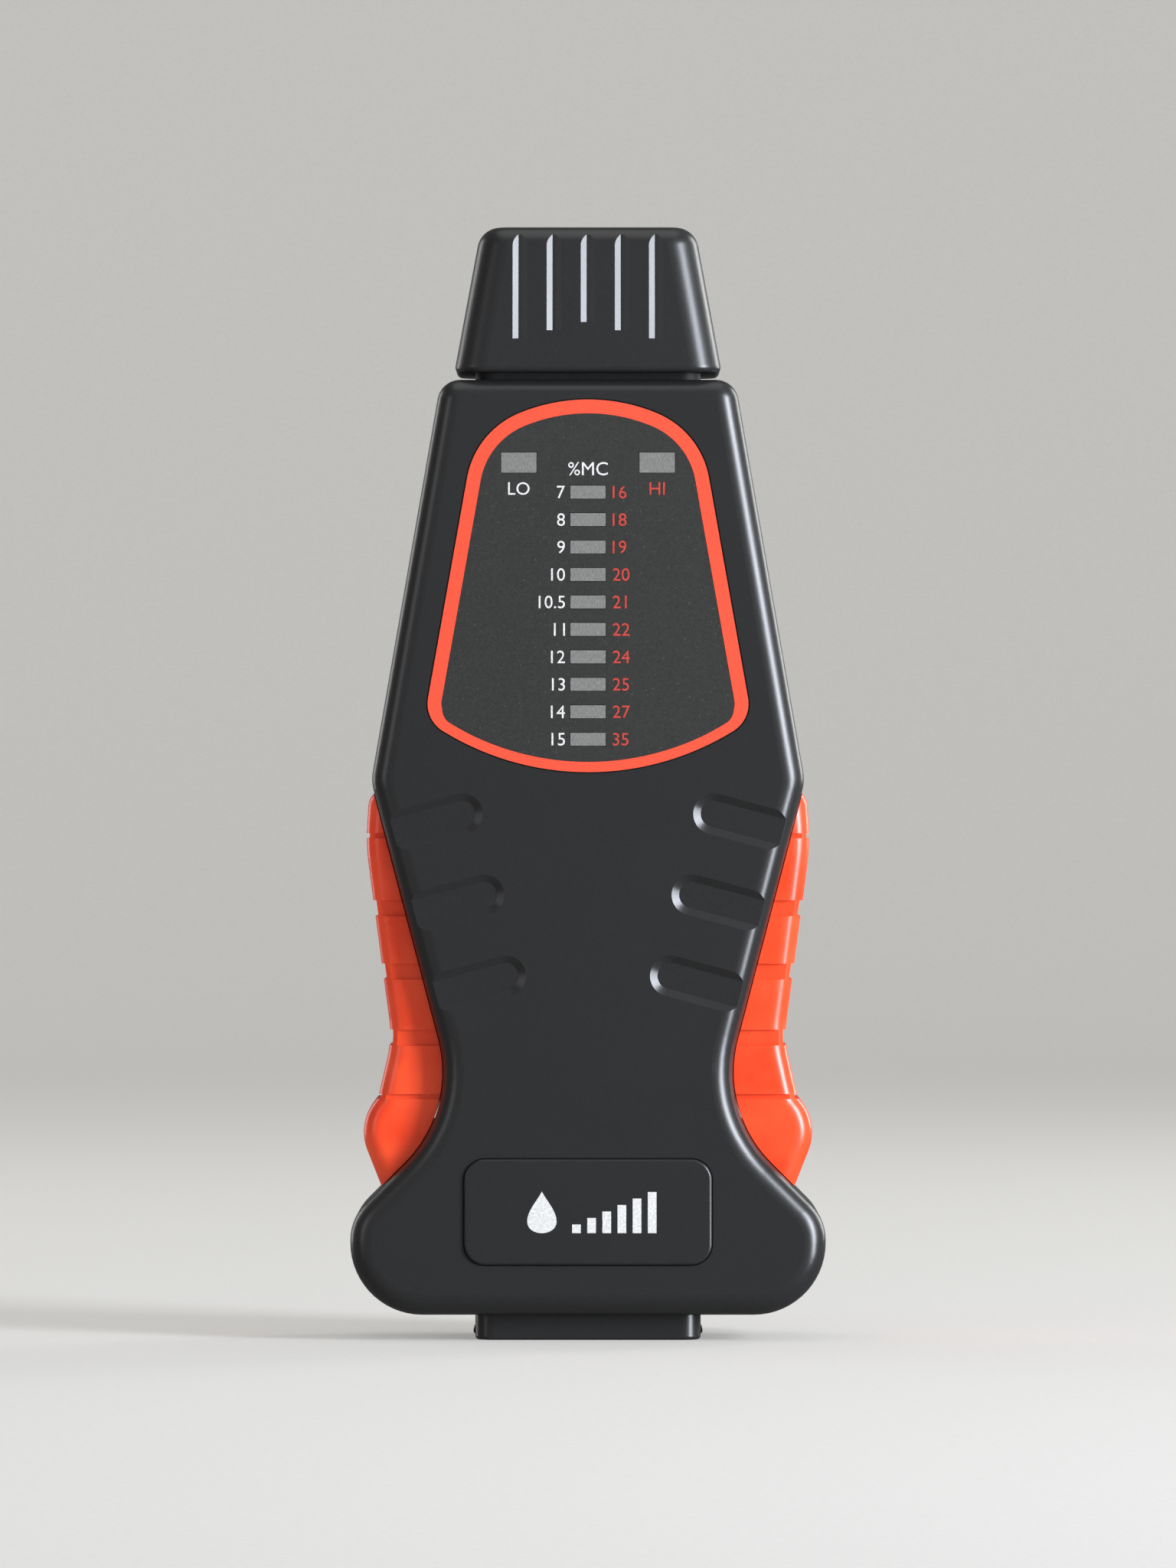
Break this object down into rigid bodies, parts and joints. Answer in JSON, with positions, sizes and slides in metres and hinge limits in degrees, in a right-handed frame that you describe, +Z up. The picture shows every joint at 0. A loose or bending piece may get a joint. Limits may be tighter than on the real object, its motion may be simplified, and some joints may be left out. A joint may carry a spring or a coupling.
{
  "type": "grain moisture meter",
  "caption": "Handheld two-pin moisture meter with a waisted two-part case, soft side grips, LED bar scale, pull-off pin cap and rear battery door.",
  "frame": {"origin": "centre of the underside of the parking block that the meter stands on", "axes": "+Z up towards the pins, -Y out of the scale towards the user, +X to the right of the scale seen from the front"},
  "size_m": [0.0662, 0.03, 0.155],
  "materials": {
    "housing": "satin moulded ABS",
    "grip_rubber": "glossy soft rubber",
    "button_rubber": "satin rubber",
    "overlay_film": "matte printed film",
    "badge": "satin",
    "led_lens": "diffused lens",
    "inner_moulding": "moulded",
    "pin_steel": "ground",
    "socket_brass": "turned",
    "screw_steel": "zinc plated",
    "board_laminate": "solder mask",
    "chip_epoxy": "moulded epoxy",
    "trimmer_blue": "moulded",
    "trimmer_white": "moulded",
    "resistor_coat": "lacquer",
    "capacitor_sleeve": "sleeve",
    "battery_jacket": "lacquered jacket",
    "lead_red": "insulation",
    "lead_black": "insulation",
    "foam": "foam"
  },
  "bodies": {
    "root": {"amplifier": "chip_epoxy", "badge_plate": "badge", "battery": "battery_jacket", "battery_clip": "inner_moulding", "battery_lead_negative": "lead_black", "battery_lead_positive": "lead_red", "board_screws": "screw_steel", "capacitors": "capacitor_sleeve", "contact_strip_left": "socket_brass", "contact_strip_right": "socket_brass", "display_driver": "chip_epoxy", "display_overlay": "overlay_film", "electrode_pin_left": "pin_steel", "electrode_pin_right": "pin_steel", "front_cover": "housing", "housing_screws": "screw_steel", "led_frame": "inner_moulding", "led_high": "led_lens", "led_low": "led_lens", "led_scale_01": "led_lens", "led_scale_02": "led_lens", "led_scale_03": "led_lens", "led_scale_04": "led_lens", "led_scale_05": "led_lens", "led_scale_06": "led_lens", "led_scale_07": "led_lens", "led_scale_08": "led_lens", "led_scale_09": "led_lens", "led_scale_10": "led_lens", "left_grip": "grip_rubber", "main_board": "board_laminate", "parking_block": "housing", "pin_block": "housing", "pin_socket_left": "socket_brass", "pin_socket_right": "socket_brass", "rear_cover": "housing", "resistors": "resistor_coat", "right_grip": "grip_rubber", "tact_switch": "inner_moulding", "trimmer_body": "trimmer_blue"},
    "cap": {"cap": "housing"},
    "button": {"power_button": "button_rubber", "switch_stem": "inner_moulding"},
    "door": {"battery_door": "housing", "battery_pad": "foam"},
    "trimmer": {"trimmer_rotor": "trimmer_white"}
  },
  "joints": [
    {"name": "cap_slide", "type": "slide", "parent": "root", "child": "cap", "axis": [0, 0, 1], "range_m": [0, 0.025]},
    {"name": "button_press", "type": "slide", "parent": "root", "child": "button", "axis": [0, -1, 0], "range_m": [0, 0.0008], "stiffness_N_per_m": 2000},
    {"name": "door_hinge", "type": "hinge", "parent": "root", "child": "door", "pos_m": [0, 0.0145, 0.0092], "axis": [-1, 0, 0], "range_deg": [0, 75]},
    {"name": "trimmer_turn", "type": "hinge", "parent": "root", "child": "trimmer", "pos_m": [-0.00715, 0, 0.0965], "axis": [0, 1, 0], "range_deg": [-135, 135]}
  ]
}
